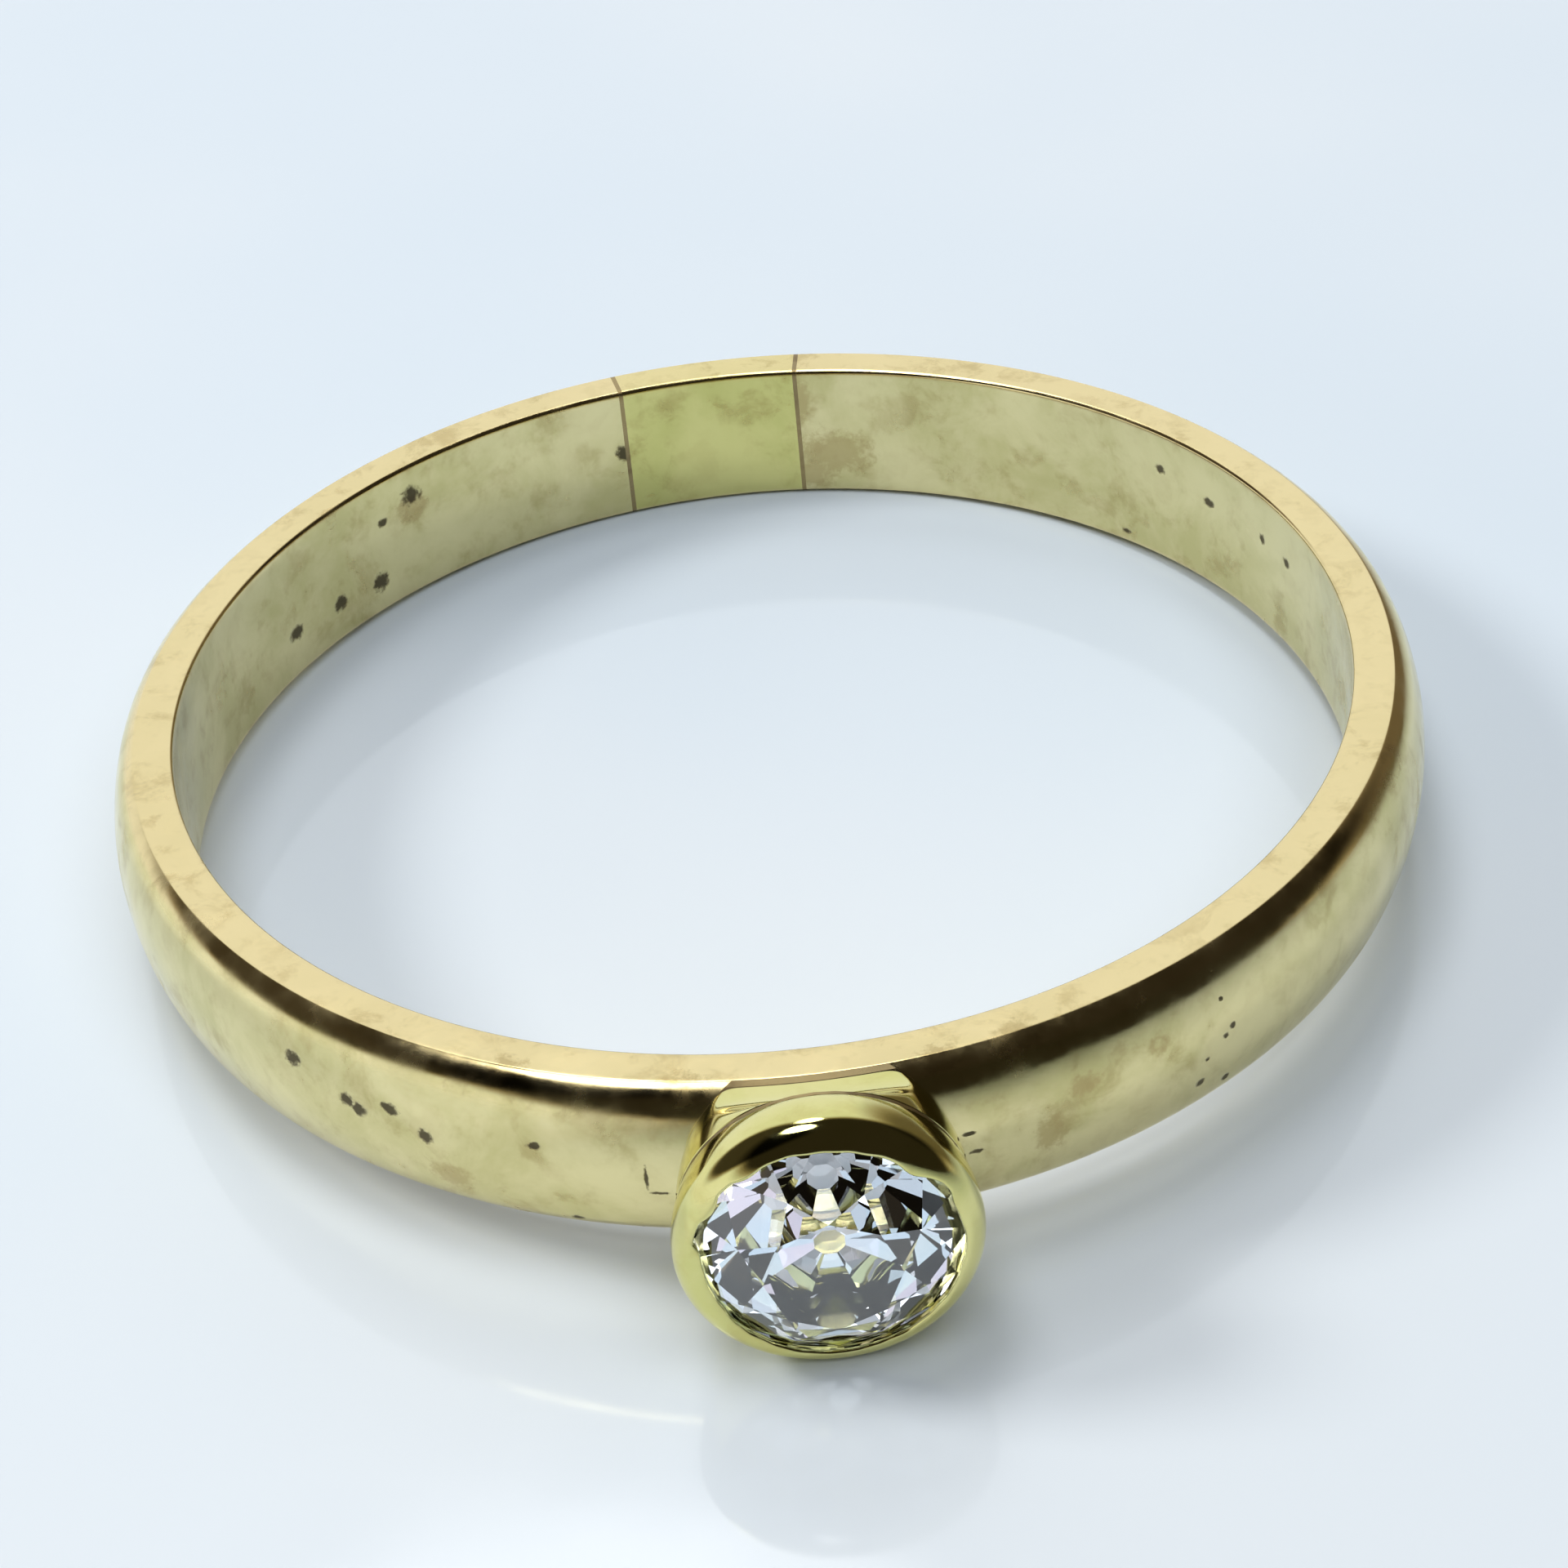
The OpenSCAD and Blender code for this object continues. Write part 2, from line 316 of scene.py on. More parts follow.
# %% [markdown]
# ## Shank, insert and the two seams
#
# When a ring is made larger, the shank is sawn open at the back, spread, and a
# short piece is let in with a wall of solder at each side. The seams here are
# real slices between the two, so their tarnish is a line on every side of the
# band. The angles come from the seams' boxes: a box's edge is the sine or
# cosine of its angle times the radius there.

# %% Angles of the insert and the bands made from them
back = math.pi
left_edge = back + math.acos(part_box("sizing_insert")[0][1] / bore_r)
left_seam = back + math.acos(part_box("insert_solder_left")[0][1] / bore_r)
right_edge = back - math.asin(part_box("sizing_insert")[1][0] / back_r)
right_seam = back - math.asin(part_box("insert_solder_right")[1][0] / back_r)
print("insert from", round(math.degrees(right_edge), 1), "to", round(math.degrees(left_edge), 1), "degrees")


def shank_turns(count=700, near_stone=0.35):
    """Turns from the left seam round the stone to the right seam, closest together at the stone.

    The steps of t + near_stone sin(2 pi t) / (2 pi) are shortest half way, which is near the stone.
    """
    t = np.linspace(0, 1, count)
    start, end = left_seam - 2 * math.pi, right_seam
    return start + (end - start) * (t + near_stone * np.sin(2 * math.pi * t) / (2 * math.pi))


shank = make_band("band_shank", shank_turns())
insert = make_band("band_insert", np.linspace(right_edge, left_edge, 48))
seams = [make_band("insert_seam_left", np.linspace(left_edge, left_seam, 4)),
         make_band("insert_seam_right", np.linspace(right_seam, right_edge, 4))]

# %% [markdown]
# ## The collet
#
# The collet is the cup that lifts the rim off the band. It starts as a turned
# flare with bowed flanks, and its two sides are filed hollow so that they run
# from the band's edges out to the rim. Where flank and hollow meet there is a
# soft crease. One formula gives both: round the setting's axis, the radius is
# the smaller of flare and hollow, with a power mean to round off the crease.

# %% Sizes of the collet
rim_foot_r = width_of("rim_solder", 0) / 2
foot_r = 1.56 * MM                                  # where the flanks start, in the middle of the wall
flank_depth = 0.45 * MM                             # that start lies this far outside the finger hole
scoop_depth = 0.4 * MM                              # the hollows start this far inside the band's dome
flank_run = collet_top - (bore_r + flank_depth)
flank_drop = rim_foot_r - foot_r
flank_r = (flank_run ** 2 + flank_drop ** 2) / (2 * flank_drop)
scoop_start = front_r - scoop_depth
scoop_run, scoop_rise = collet_top - scoop_start, rim_foot_r - front_w / 2
scoop_r = (scoop_run ** 2 + scoop_rise ** 2) / (2 * scoop_rise)
narrowest = 0.05                                    # keeps hollow / sin(angle) finite near +X and -X
print("flank radius", round(flank_r / MM, 2), "hollow radius", round(scoop_r / MM, 2))

# %% Outline of the collet
def collet_radius(angle, h, crease=44):
    """(flare^-n + hollow^-n)^(-1/n) at height h, n = crease; angle is 0 at +X, 90 degrees up."""
    flare = rim_foot_r - flank_r + np.sqrt(flank_r ** 2 - (collet_top - h) ** 2)
    rise = np.clip(h - scoop_start, 0, scoop_r)
    hollow = front_w / 2 + scoop_r - np.sqrt(scoop_r ** 2 - rise ** 2)
    across = np.maximum(np.abs(np.sin(angle)), narrowest)
    return (flare ** -crease + (hollow / across) ** -crease) ** (-1 / crease)


def dome_height(rho, angle, raised=0.0):
    """Height of the band's outside, raised, at distance rho from the setting's axis."""
    x, z = rho * np.cos(angle), rho * np.sin(angle)
    return front_gain + np.sqrt(dome_radius(z, raised) ** 2 - x ** 2)


def halve(low, high, above):
    """Bisection on whole arrays: the place between low and high where above turns true."""
    for _ in range(40):
        middle = (low + high) / 2
        low, high = np.where(above(middle), low, middle), np.where(above(middle), middle, high)
    return (low + high) / 2


# %% The collet's skin
lowest_foot = bore_r + 0.3 * MM                     # below every height at which a foot can meet the dome


def make_collet(name, count=320):
    """At each angle one closed loop: up the wall, over the top, down the well, back on the band."""
    angle = np.linspace(0, 2 * math.pi, count, endpoint=False)[:, None]
    low, high = np.full_like(angle, lowest_foot), np.full_like(angle, collet_top)
    foot = halve(low, high, lambda h: h > dome_height(collet_radius(angle, h), angle, solder_t))
    foot_rho = collet_radius(angle, foot)
    low, high = np.full_like(angle, well_end_r), np.full_like(angle, well_top_r)
    well_rho = halve(low, high, lambda p: well_height(p) > dome_height(p, angle, solder_t))
    t = np.linspace(0, 1, 48)[None]
    wall_h = foot + (collet_top - foot) * t
    wall = collet_radius(angle, wall_h)
    top = wall[:, -1:] + (well_top_r - wall[:, -1:]) * np.linspace(0, 1, 10)[None, 1:]
    well = well_top_r + (well_rho - well_top_r) * np.linspace(0, 1, 14)[None, 1:]
    under = well_rho + (foot_rho - well_rho) * np.linspace(0, 1, 20)[None, 1:-1]
    rho = np.concatenate([wall, top, well, under], 1)
    base_h = dome_height(under, angle, solder_t)
    h = np.concatenate([wall_h, collet_top + 0 * top, well_height(well), base_h], 1)
    points = soften(np.stack([rho * np.cos(angle), -h, rho * np.sin(angle)], axis=2), 1)
    rows, cols, _ = points.shape
    quads = grid_faces(rows, cols, wrap_rows=True, wrap_cols=True)
    return make_piece(name, points.reshape(-1, 3), quads)


collet = make_collet("setting_collet")

# %% [markdown]
# ## The rubbed-over rim
#
# The rim is a strip of gold soldered into a ring. Once the stone is seated, its
# upper edge is rubbed over the girdle with a burnisher. It is done by hand, so
# the edge wanders: it covers more of the stone on one side and thins out to
# nothing in places. The section is an outline, and the reach of its edge over
# the stone is a wave of the angle round the rim.

# %% Sizes of the rim
roll_r = 0.45 * MM                                  # the rolled edge
belly_r = 1.4 * MM                                  # the bow of the outer wall
tip_r = 0.03 * MM                                   # the rounding where the rolled edge ends
girdle_play = 0.01 * MM                             # between girdle and wall
crown_play = 0.004 * MM                             # between crown and rolled edge
girdle_t = 0.07 * MM
most_open = 1.775                                   # mm, just inside the girdle
crown_slope = math.tan(math.radians(36))
girdle_base = culet_h + (girdle_r - culet_r) * pavilion_slope
girdle_top = girdle_base + girdle_t
belly_h = rim_top - roll_r
print("girdle from", round(girdle_base / MM, 3), "to", round(girdle_top / MM, 3), "mm up")

# %% The edge's wandering
def bump_at(angle, middle, width):
    """A smooth bump of height 1 round an angle, in degrees: exp(-(d / width)^2)."""
    d = (np.degrees(angle) - middle + 180) % 360 - 180
    return np.exp(-(d / width) ** 2)


def lip_opening(angle):
    """Radius of the rolled edge, which reaches furthest in at the lower left.

    1.71 mm, plus bumps (how much, where, how wide) and three small waves of the hand.
    """
    bumps = ((-0.11, 200, 32), (0.065, 275, 30), (0.03, 105, 25),
             (0.14, 160, 7), (0.10, 134, 6), (0.08, 32, 8), (-0.08, 50, 7))
    opening = 1.71 + sum(size * bump_at(angle, middle, width) for size, middle, width in bumps)
    hand = (0.008 * np.sin(7 * angle + 1) + 0.006 * np.sin(13 * angle + 2)
            + 0.004 * np.sin(29 * angle))
    return np.minimum(opening + hand, most_open) * MM


def pressed_down(angle):
    """How much lower the edge was rubbed: most at the bottom, nothing at the top."""
    return 0.12 * MM * bump_at(angle, 268, 78)


# %% Outline of the rim
def rim_outline(opening, pressed):
    """Closed section (radius, height) of the rim for one opening radius, its edge pressed down.

    The rolled edge sinks by pressed x share^2, share being how far in the point lies.
    """
    wall = arc((rim_r - belly_r, belly_h), belly_r,
               math.degrees(math.asin((rim_foot - belly_h) / belly_r)), 0, 20)
    lean = math.degrees(math.acos((opening - rim_r + roll_r + tip_r) / roll_r))
    roll = arc((rim_r - roll_r, belly_h), roll_r, 0, lean, 24)[1:]
    roll[:, 1] -= pressed * ((rim_r - roll[:, 0]) / (rim_r - opening)) ** 2
    under = girdle_top + (girdle_r - opening) * crown_slope + crown_play
    tip = arc((opening + tip_r, roll[-1, 1] - tip_r), tip_r, 90, 180, 6)[1:]
    inside = np.array([[opening, under], [girdle_r, girdle_top + crown_play],
                       [girdle_r + girdle_play, girdle_top], [girdle_r + girdle_play, rim_foot]])
    return np.concatenate([wall, roll, tip, inside, wall[:1]])


def make_rim(name, count=288):
    """The outline at every angle round the setting's axis, as one closed ring."""
    angle = np.linspace(0, 2 * math.pi, count, endpoint=False)
    edges = zip(lip_opening(angle), pressed_down(angle))
    loops = np.stack([even_along(rim_outline(*edge), 121)[:-1] for edge in edges])
    loops = soften(loops, 1)
    rho, h = loops[..., 0], loops[..., 1]
    points = np.stack([rho * np.cos(angle)[:, None], -h, rho * np.sin(angle)[:, None]], axis=2)
    rows, cols, _ = points.shape
    quads = grid_faces(rows, cols, wrap_rows=True, wrap_cols=True)
    return make_piece(name, points.reshape(-1, 3), quads)


rim = make_rim("setting_rim")

# %% [markdown]
# ## Nodes by name
#
# A material is a small graph. These helpers add one node at a time, set its
# plain values and join its inputs, so that a finish below reads like a recipe.
# Patterns are in millimetres: the object's own coordinates times a thousand.

# %% Graph helpers
def node_adder(tree):
    """A function that adds one node to a graph: its kind, its links, its settings and plain values."""
    def add(kind, links=(), **settings):
        node = tree.nodes.new(kind)
        for key, value in settings.items():
            if key.startswith("in_"):
                node.inputs[int(key[3:])].default_value = value
            else:
                setattr(node, key, value)
        for socket, source in dict(links).items():
            tree.links.new(source, node.inputs[socket])
        return node

    return add


def new_material(name):
    """A material with an empty graph, its output and a Principled shader: (material, add, shader)."""
    material = bpy.data.materials.new(name)
    material.use_nodes = True
    material.node_tree.nodes.clear()
    add = node_adder(material.node_tree)
    shader = add("ShaderNodeBsdfPrincipled")
    add("ShaderNodeOutputMaterial", {"Surface": shader.outputs[0]})
    print("new material", name)
    return material, add, shader


def in_mm(add):
    """The object's coordinates in millimetres."""
    place = add("ShaderNodeTexCoord").outputs["Object"]
    return add("ShaderNodeVectorMath", {0: place}, operation="SCALE", in_3=1 / MM).outputs[0]


def noise(add, place, scale, detail=4, roughness=0.55, distortion=0.0):
    """Cloudy noise, scale in features per millimetre."""
    node = add("ShaderNodeTexNoise", {"Vector": place})
    node.inputs["Scale"].default_value = scale
    node.inputs["Detail"].default_value = detail
    node.inputs["Roughness"].default_value = roughness
    node.inputs["Distortion"].default_value = distortion
    return node.outputs["Fac"]


# %% Mixing helpers
def remap(add, value, low, high, to_low=0.0, to_high=1.0, kind="SMOOTHSTEP"):
    """value from low..high to to_low..to_high, held at the ends."""
    return add("ShaderNodeMapRange", {0: value}, interpolation_type=kind,
               in_1=low, in_2=high, in_3=to_low, in_4=to_high).outputs[0]


def blend(add, share, first, second):
    """Mix of two colours; each is a socket or an (r, g, b)."""
    node = add("ShaderNodeMix", data_type="RGBA")
    for socket, value in ((0, share), (6, first), (7, second)):
        if isinstance(value, bpy.types.NodeSocket):
            node.id_data.links.new(value, node.inputs[socket])
        else:
            node.inputs[socket].default_value = (*value, 1) if isinstance(value, tuple) else value
    return node.outputs[2]


def combine(add, operation, first, second):
    """Two numbers through a Math node; either may be a socket or a plain value."""
    node = add("ShaderNodeMath", operation=operation)
    for socket, value in enumerate((first, second)):
        if isinstance(value, bpy.types.NodeSocket):
            node.id_data.links.new(value, node.inputs[socket])
        else:
            node.inputs[socket].default_value = value
    return node.outputs[0]


def spot(add, place, centre, radii, ragged):
    """1 at a mark's centre (mm), falling to 0 at its three radii: an egg-shaped blot, ragged by a noise."""
    gap = add("ShaderNodeVectorMath", {0: place}, operation="SUBTRACT", in_1=centre).outputs[0]
    scaled = add("ShaderNodeVectorMath", {0: gap}, operation="DIVIDE", in_1=radii).outputs[0]
    length = add("ShaderNodeVectorMath", {0: scaled}, operation="LENGTH").outputs["Value"]
    return remap(add, combine(add, "ADD", length, ragged), 1.0, 0.45)


# %% [markdown]
# ## Marks one by one
#
# A ring that has been worn for decades has a few marks that can be counted:
# casting pits that the polish opened, brown stains and short strokes of a tool.
# Scattered noise would never put them in the right spots, so each has a place
# of its own, by its turn round the band and its height on it. A mark is the
# part of the surface inside a small egg with a ragged edge.

# %% From a turn and a height to a place
def on_band(turn, height, inside=False):
    """Place (mm) on the band: degrees from the stone towards +X, and height above its middle."""
    a = math.radians(turn)
    dome = float(dome_radius(np.array(height * MM))) + front_gain * math.cos(a)
    r = bore_r if inside else dome
    return r / MM * math.sin(a), -r / MM * math.cos(a), height


def placed(inside, marks):
    """Centres and radii of marks given as (turn, height, radius along the band, radius across it)."""
    return [(on_band(turn, height, inside), (along, along, across))
            for turn, height, along, across in marks]


# %% Places of the marks
outer_pits = placed(False, [
    (-45.2, 0.51, 0.17, 0.15), (-39.3, 0.27, 0.16, 0.12), (-38.1, 0.19, 0.16, 0.13),
    (-35, 0.39, 0.18, 0.11), (-31.8, 0.13, 0.15, 0.15), (-22.2, 0.37, 0.13, 0.07),
    (-19.8, -0.95, 0.12, 0.06), (32.5, -0.55, 0.09, 0.08), (35.5, -0.8, 0.09, 0.08),
    (33, -0.17, 0.06, 0.05), (35.8, 0.15, 0.07, 0.06), (35, 0.05, 0.06, 0.05), (35, 0.65, 0.05, 0.05)])
strokes = placed(False, [
    (11.7, 0.21, 0.11, 0.035), (12.2, -0.11, 0.12, 0.045),
    (-13.4, 0.02, 0.035, 0.26), (-12.5, -0.24, 0.17, 0.035)])
inner_pits = placed(True, [
    (-143.2, 0.63, 0.22, 0.2), (-139, 0.41, 0.12, 0.1), (-137.5, -0.61, 0.2, 0.2),
    (-131.5, -0.51, 0.2, 0.16), (-124.2, -0.41, 0.2, 0.15), (-168.5, 0.03, 0.17, 0.2),
    (128.8, 0.51, 0.12, 0.1), (121.5, 0.37, 0.14, 0.1), (112.2, 0.39, 0.1, 0.1),
    (107.3, 0.37, 0.12, 0.1), (133.8, -0.95, 0.12, 0.06)])
stains = placed(False, [
    (18.5, -0.2, 0.3, 0.4), (21.5, 0.4, 0.3, 0.2), (-30, -0.5, 0.4, 0.3), (-10.2, 1.2, 0.4, 0.2),
    (10.3, 1.2, 0.35, 0.2), (-25, 1.2, 0.35, 0.2), (17, 1.2, 0.4, 0.2)])
stains += placed(True, [
    (172, 0.6, 0.3, 0.6), (171.5, -0.8, 0.6, 0.35), (168.5, -0.4, 0.8, 0.5), (-143, 0.4, 0.35, 0.35)])
ring_stain = on_band(28.5, 0.51)
print(len(outer_pits + inner_pits), "pits,", len(strokes), "strokes,", len(stains), "stains")

# %% Marks in a material
def any_of(add, place, marks, ragged):
    """The strongest of several blots at each point."""
    strongest = None
    for centre, radii in marks:
        blot = spot(add, place, centre, radii, ragged)
        strongest = blot if strongest is None else combine(add, "MAXIMUM", strongest, blot)
    return strongest


def marked(add, place, colour, pits):
    """The colour with its stains and dark pits, and how deep in a pit each point is."""
    ragged = remap(add, noise(add, place, 7, 5, 0.7), 0.3, 0.7, -0.35, 0.35, "LINEAR")
    depth = any_of(add, place, pits, ragged)
    halo = spot(add, place, ring_stain, (0.2, 0.2, 0.2), ragged)
    core = spot(add, place, ring_stain, (0.11, 0.11, 0.11), ragged)
    stain = combine(add, "MAXIMUM", any_of(add, place, stains, ragged),
                    combine(add, "SUBTRACT", halo, core))
    colour = blend(add, combine(add, "MULTIPLY", stain, 0.6), colour, (0.48, 0.36, 0.15))
    return blend(add, combine(add, "MULTIPLY", depth, 0.85), colour, (0.08, 0.06, 0.04)), depth


# %% [markdown]
# ## Worn gold
#
# Yellow gold is a metal, so its colour is the colour of its reflections. Years
# of wear leave a soft polish: cloudy patches where the gloss is lower, warm
# brown tarnish and fine scratches in every direction. Each is its own noise at
# its own scale, in features per millimetre. The side faces are painted a rosier
# gold, mixed in by height above the middle: a painted warm reflection of the
# bright glow behind the ring.

# %% Colour and relief of worn gold
side_from, side_to = 1.06, 1.14                     # mm above the middle: where the side faces start
# Painted warm reflection: the rosier gold given to the side faces.
side_reflection_tint = (0.88, 0.72, 0.38)


def patina(add, place, bright, olive, tarnish, stained, side_reflection_share):
    """Cloudy gold with brown tarnish: (colour, share of tarnish)."""
    cloud = noise(add, place, 0.6, 6, 0.6, 0.4)
    grain = noise(add, place, 1.9, 8, 0.62, 0.3)
    speck = noise(add, place, 14, 4, 0.6)
    colour = blend(add, remap(add, cloud, 0.36, 0.68), bright, olive)
    # Painted warm reflection: the side faces, found by height, get a rosier gold.
    upright = add("ShaderNodeSeparateXYZ", {0: place}).outputs[2]
    side_face = remap(add, combine(add, "ABSOLUTE", upright, 0.0), side_from, side_to)
    colour = blend(add, combine(add, "MULTIPLY", side_face, side_reflection_share), colour, side_reflection_tint)
    brown = combine(add, "MULTIPLY", remap(add, grain, 0.47, 0.66),
                    remap(add, cloud, 0.38, 0.60, 0.25, 1.0))
    brown = combine(add, "MULTIPLY", brown, stained)
    colour = blend(add, brown, colour, tarnish)
    return blend(add, remap(add, speck, 0.6, 0.8, 0, 0.12), colour, tarnish), brown


def relief(add, place, depth):
    """Slow waves, a fine grain and scratches, with the pits sunk into them: a bump's normal."""
    height = combine(add, "MULTIPLY", noise(add, place, 1.1, 3, 0.5), 1.6)
    for scale, detail, roughness, share in ((9, 6, 0.7, 0.12), (45, 3, 0.6, 0.04)):
        layer = combine(add, "MULTIPLY", noise(add, place, scale, detail, roughness), share)
        height = combine(add, "ADD", height, layer)
    if depth is not None:
        height = combine(add, "SUBTRACT", height, combine(add, "MULTIPLY", depth, 3.0))
    return add("ShaderNodeBump", {"Height": height}, in_0=0.6, in_1=0.004 * MM).outputs[0]


# %% Worn gold
def worn_gold(name, bright, olive, tarnish, gloss=0.16, stained=0.5, side_reflection_share=0.0, pits=()):
    """Gold with cloudy colour and gloss, brown tarnish, fine scratches and, where given, marks."""
    material, add, shader = new_material(name)
    place = in_mm(add)
    colour, brown = patina(add, place, bright, olive, tarnish, stained, side_reflection_share)
    cloudy = remap(add, noise(add, place, 1.3, 7, 0.62), 0.3, 0.75, gloss * 0.6, gloss * 1.7)
    rough = combine(add, "ADD", cloudy, combine(add, "MULTIPLY", brown, 0.22))
    depth = None
    if pits:
        colour, depth = marked(add, place, colour, pits)
        rough = combine(add, "MAXIMUM", rough, combine(add, "MULTIPLY", depth, 0.6))
    shader.inputs["Metallic"].default_value = 1.0
    for socket, source in (("Base Color", colour), ("Roughness", rough),
                           ("Normal", relief(add, place, depth))):
        material.node_tree.links.new(source, shader.inputs[socket])
    return material


# %% Finishes and the pieces that wear them
def dress(piece, material, slot_name, *nodes):
    """Gives a new piece its finish, its place among the CAD's bodies and the nodes it stands for."""
    piece.data.materials.clear()
    piece.data.materials.append(material)
    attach(piece, "root")
    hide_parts(*nodes)


band_gold = worn_gold("worn_band_gold", (0.86, 0.76, 0.40), (0.67, 0.60, 0.27), (0.44, 0.32, 0.12),
                      stained=0.42, side_reflection_share=0.8, pits=outer_pits + strokes + inner_pits)
insert_gold = worn_gold("worn_insert_gold", (0.77, 0.715, 0.28), (0.66, 0.63, 0.22), (0.44, 0.33, 0.11),
                        side_reflection_share=0.7)
bezel_gold = worn_gold("burnished_gold", (0.80, 0.75, 0.33), (0.72, 0.69, 0.26), (0.55, 0.42, 0.14),
                       gloss=0.07, stained=0.25)
solder = worn_gold("tarnished_solder", (0.42, 0.32, 0.15), (0.34, 0.26, 0.13), (0.16, 0.10, 0.05),
                   gloss=0.3)

dress(shank, band_gold, "band_gold", "shank")
dress(insert, insert_gold, "insert_gold", "sizing_insert")
dress(seams[0], solder, "gold_solder", "insert_solder_left")
dress(seams[1], solder, "gold_solder", "insert_solder_right")
dress(collet, bezel_gold, "bezel_gold", "collet")
dress(rim, bezel_gold, "bezel_gold", "bezel_rim")
print("dressed", [piece.name for piece in (shank, insert, *seams, collet, rim)])

# %% [markdown]
# ## What stays of the CAD model
#
# The solder layers and the bearing ring are right as they are, so only their
# finish changes.

# %% Carried-over nodes
def refinish(node, material):
    """Puts a finish on a CAD node's own material slots."""
    mesh = frame["nodes"][node].data
    mesh.materials.clear()
    mesh.materials.append(material)
    print(node, "now wears", material.name)


refinish("bearing_ring", bezel_gold)
for layer in ("collet_solder", "rim_solder"):
    refinish(layer, solder)

# %% [markdown]
# ## The old-cut diamond
#
# An old European cut has a small table, a high crown and an open culet. Each
# facet must be one flat plane with a crisp edge, because the stone's life is
# the way its facets mirror each other, so its faces stay flat where the gold's
# are smooth. Everything repeats eight times round the axis: a ring of eight
# points for each corner of the cut, and the facets between them by number.
# A diamond bends light far more than glass does, by a factor of 2.417.

# %% The stone's facets
table_r = 0.5 * girdle_r
star_r, lower_r = 0.7 * girdle_r, 0.52 * girdle_r
half_step = math.pi / 8


def ring_of_eight(rho, h, turned=0.0):
    """Eight points at radius rho and height h, the first turned off +X."""
    a = turned + np.arange(8) * 2 * half_step
    return np.stack([rho * np.cos(a), np.full(8, -h), rho * np.sin(a)], axis=1)


def make_stone(name):
    """Rings: 0 table, 8 star, 16 and 24 girdle top, 32 and 40 girdle base, 48 lower, 56 culet."""
    star_h = girdle_top + (girdle_r - star_r * math.cos(half_step)) * crown_slope
    lower_h = girdle_base - (girdle_r - lower_r * math.cos(half_step)) * pavilion_slope
    points = np.concatenate([
        ring_of_eight(table_r, table_h), ring_of_eight(star_r, star_h, half_step),
        ring_of_eight(girdle_r, girdle_top), ring_of_eight(girdle_r, girdle_top, half_step),
        ring_of_eight(girdle_r, girdle_base), ring_of_eight(girdle_r, girdle_base, half_step),
        ring_of_eight(lower_r, lower_h, half_step),
        ring_of_eight(culet_r / math.cos(half_step), culet_h, half_step)])
    i = np.arange(8)
    j, k = (i + 1) % 8, (i + 7) % 8
    facets = [(i, 8 + i, j), (8 + k, 16 + i, 8 + i, i), (16 + i, 24 + i, 8 + i), (24 + i, 16 + j, 8 + i),
              (16 + i, 32 + i, 40 + i, 24 + i), (24 + i, 40 + i, 32 + j, 16 + j),
              (32 + i, 48 + i, 40 + i), (40 + i, 48 + i, 32 + j),
              (48 + k, 56 + k, 56 + i, 48 + i, 32 + i)]
    faces = [row for f in facets for row in np.stack(f, axis=1).tolist()]
    faces += [list(range(8)), list(range(56, 64))]
    mesh = bpy.data.meshes.new(name)
    mesh.from_pydata(points.tolist(), [], faces)
    repair = bmesh.new()
    repair.from_mesh(mesh)
    bmesh.ops.recalc_face_normals(repair, faces=repair.faces)
    repair.to_mesh(mesh)
    repair.free()
    stone = bpy.data.objects.new(name, mesh)
    bpy.context.collection.objects.link(stone)
    print(name, len(faces), "facets,", round(enclosed(mesh) / MM ** 3, 2), "mm3")
    return stone


# %% Diamond
def cut_diamond(name):
    """Clear diamond with a faint tint of its own that drifts from violet to straw."""
    material, add, shader = new_material(name)
    place = in_mm(add)
    drift = noise(add, place, 1.4, 2, 0.5)
    tint = blend(add, remap(add, drift, 0.4, 0.62), (0.89, 0.94, 1.0), (1.0, 0.97, 0.98))
    material.node_tree.links.new(tint, shader.inputs["Base Color"])
    polish = remap(add, noise(add, place, 3, 4), 0.4, 0.8, 0.0, 0.02)
    material.node_tree.links.new(polish, shader.inputs["Roughness"])
    shader.inputs["IOR"].default_value = 2.417
    shader.inputs["Transmission Weight"].default_value = 1.0
    return material


stone = make_stone("old_cut_stone")
dress(stone, cut_diamond("clear_diamond"), "diamond", "diamond")

# %% [markdown]
# ## Floor
#
# The ring lies on a glossy pale sheet. It touches the sheet with the back of
# the band and with the rim of the setting, so the sheet is tipped by the small
# angle between those two points: the ring itself stays in its CAD place.

# %% Floor under the ring
edge_depth = 0.6 * MM                               # how far outside the hole the back's side face rests
clearance = 0.01 * MM                               # between sheet and gold


def floor_height(y):
    """Height of the sheet: the line through the rim's lowest point and the band's lowest back edge."""
    rim_y, rim_z = -(rim_top - roll_r), -rim_r
    edge_y, edge_z = bore_r + edge_depth, -back_w / 2
    return rim_z + (y - rim_y) * (edge_z - rim_z) / (edge_y - rim_y) - clearance


def make_floor(half_size=0.6, count=25):
    """A square grid of points at floor_height(y)."""
    side = np.linspace(-half_size, half_size, count)
    x, y = np.meshgrid(side, side, indexing="ij")
    points = np.stack([x, y, floor_height(y)], axis=2).reshape(-1, 3)
    mesh = bpy.data.meshes.new("floor")
    mesh.from_pydata(points.tolist(), [], grid_faces(count, count).tolist())
    floor = bpy.data.objects.new("floor", mesh)
    bpy.context.collection.objects.link(floor)
    return floor


floor = make_floor()
print("floor: z =", round(floor_height(0.0) / MM, 3), "mm under the middle of the ring")

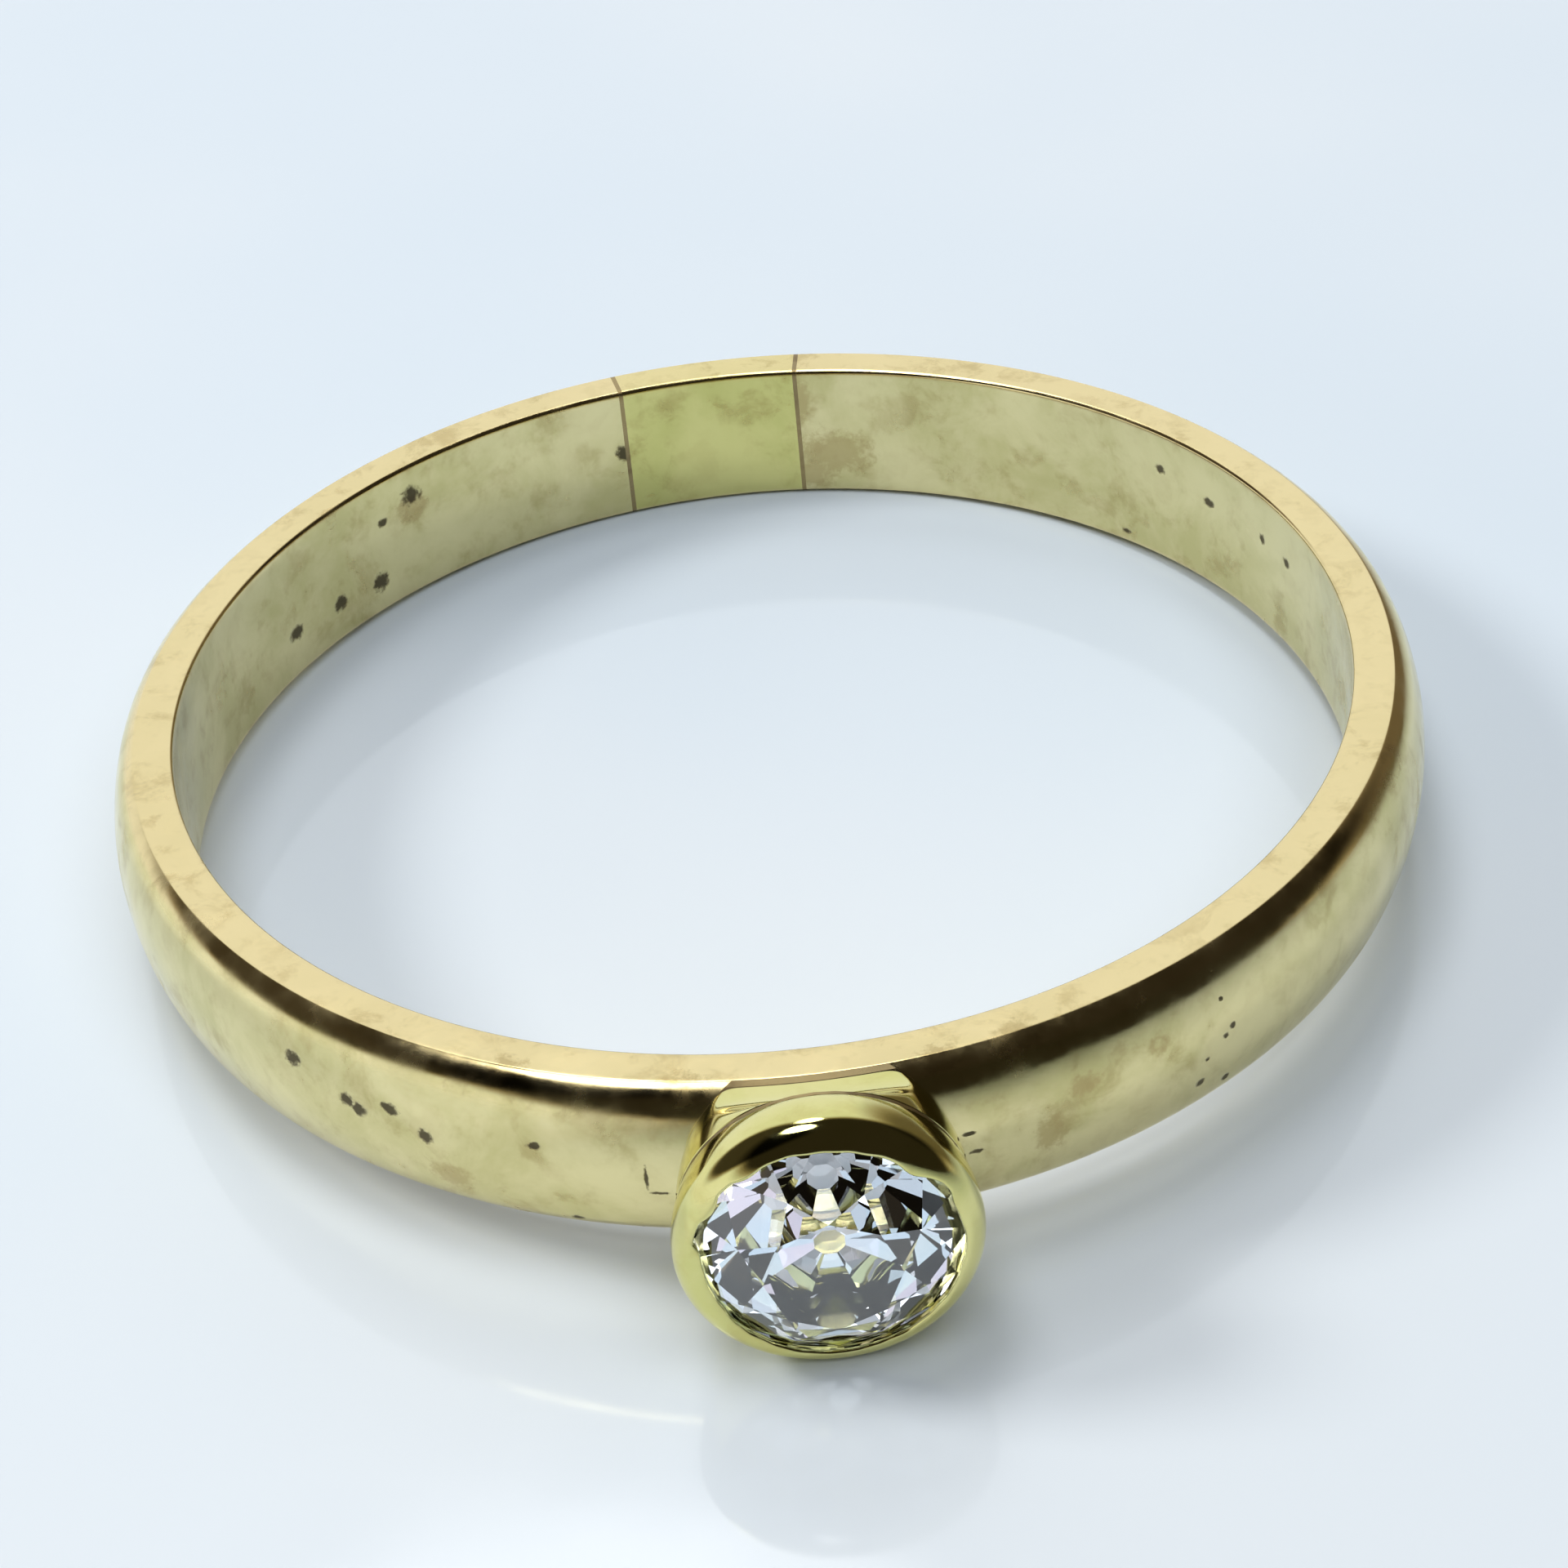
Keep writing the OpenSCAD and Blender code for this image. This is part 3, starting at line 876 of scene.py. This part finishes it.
# %% Finish of the floor
sheet, add, shader = new_material("pale_sheet")
place = in_mm(add)
drift = remap(add, noise(add, place, 0.03, 3), 0.35, 0.7)
pale = blend(add, drift, (0.72, 0.81, 0.90), (0.80, 0.86, 0.92))
sheen = remap(add, noise(add, place, 0.4, 4), 0.3, 0.7, 0.05, 0.1)
sheet.node_tree.links.new(pale, shader.inputs["Base Color"])
sheet.node_tree.links.new(sheen, shader.inputs["Roughness"])
shader.inputs["Specular IOR Level"].default_value = 0.4
floor.data.materials.append(sheet)

# %% [markdown]
# ## Light
#
# Gold shows the room. A pale glow from behind and from both sides fills the
# side faces and the inside of the band. Three darker areas draw its dark lines:
# one overhead and in front, one at the far right and a small one at the upper
# left. Where the glow fades into them it turns warm, as a room's corners do.

# %% The room
dark_areas = (((0.35, -0.55, 0.76), 0.22, 0.5, 0.975),    # overhead and in front
              ((0.80, 0.60, 0.12), 0.76, 0.95, 0.85),     # far right
              ((-0.62, 0.08, 0.78), 0.73, 0.86, 0.95))    # upper left
warm, cool = (1.0, 0.80, 0.52), (0.93, 0.96, 1.0)


def soft_world():
    """A pale room as a function of direction: one minus each dark area, multiplied together."""
    world = bpy.data.worlds.new("room")
    bpy.context.scene.world = world
    world.use_nodes = True
    world.node_tree.nodes.clear()
    add = node_adder(world.node_tree)
    way = add("ShaderNodeTexCoord").outputs["Generated"]

    def dark_area(direction, start, full, strength):
        """A soft patch round one direction, from start to full (cosines of the angle off it)."""
        d = Vector(direction).normalized()
        dot = add("ShaderNodeVectorMath", {0: way}, operation="DOT_PRODUCT", in_1=d).outputs["Value"]
        return remap(add, dot, start, full, 0, strength)

    glow = 1.0
    for area in dark_areas:
        glow = combine(add, "MULTIPLY", combine(add, "SUBTRACT", 1.0, dark_area(*area)), glow)
    tone = blend(add, remap(add, glow, 0.1, 0.85), warm, cool)
    sky = add("ShaderNodeBackground", {"Strength": glow, "Color": tone})
    add("ShaderNodeOutputWorld", {"Surface": sky.outputs[0]})


soft_world()
print("room:", len(bpy.context.scene.world.node_tree.nodes), "nodes")

# %% [markdown]
# ## Lamps
#
# The key lamp stands at the left and casts the soft shadows to the right, and
# the fill lamp lights the sheet from the front. Neither shows in the gold, so
# that its reflections stay calm. Two small lamps overhead give the gold its
# white highlights. A diamond lives on contrast: some facets must catch a lamp
# and some must miss, so nine lamps in front of the stone leave gaps between
# them. They are seen only by light that has passed through the stone.

# %% Lamps
lamp_distance = 0.4


def lamp(name, direction, size, watts, colour=(1, 1, 1)):
    """A round soft lamp that looks at the ring from one direction."""
    light = bpy.data.lights.new(name, "AREA")
    light.shape, light.size = "DISK", size
    light.energy, light.color = watts, colour
    holder = bpy.data.objects.new(name, light)
    way = Vector(direction).normalized()
    turned = way.to_track_quat("Z", "Y").to_matrix().to_4x4()
    holder.matrix_world = Matrix.Translation(way * lamp_distance) @ turned
    bpy.context.collection.objects.link(holder)
    return holder


lamp("overhead", (-0.19, 0.10, 0.976), 0.15, 0.36)
lamp("skylight", (-0.06, 0.50, 0.86), 0.11, 0.12)
key = lamp("key", (-0.75, 0.15, 0.62), 0.12, 0.66, (1.0, 0.98, 0.94))
fill = lamp("fill", (0.15, -0.45, 0.88), 0.34, 0.72, (0.93, 0.97, 1.0))
for holder in (key, fill):
    holder.visible_glossy = False

# %% Lamps for the stone
spark_size, spark_watts = 0.23, 0.14
spark_tints = ((0.68, 0.85, 1.0), (0.74, 0.87, 1.0), (0.86, 0.84, 1.0), (0.74, 0.91, 1.0))
spark_ways = ((0.0, -1.0, 0.15), (-0.55, -0.75, 0.35), (0.5, -0.8, 0.3), (0.0, -0.78, 0.62),
              (0.85, -0.5, 0.2), (-0.85, -0.5, 0.15), (0.45, -0.45, 0.75), (-0.4, -0.5, 0.78),
              (0.0, -0.15, 1.0))
for count, way in enumerate(spark_ways):
    tint = spark_tints[count % len(spark_tints)]
    spark = lamp("spark_%d" % count, way, spark_size, spark_watts, tint)
    spark.visible_glossy = spark.visible_diffuse = False
print(len(spark_ways), "lamps for the stone")

# %% [markdown]
# ## Last settings
#
# The plain view transform shows the colours as they were mixed, with clean
# whites.

# %% Colour of the picture
bpy.context.scene.view_settings.view_transform = "Standard"
print("view transform:", bpy.context.scene.view_settings.view_transform)
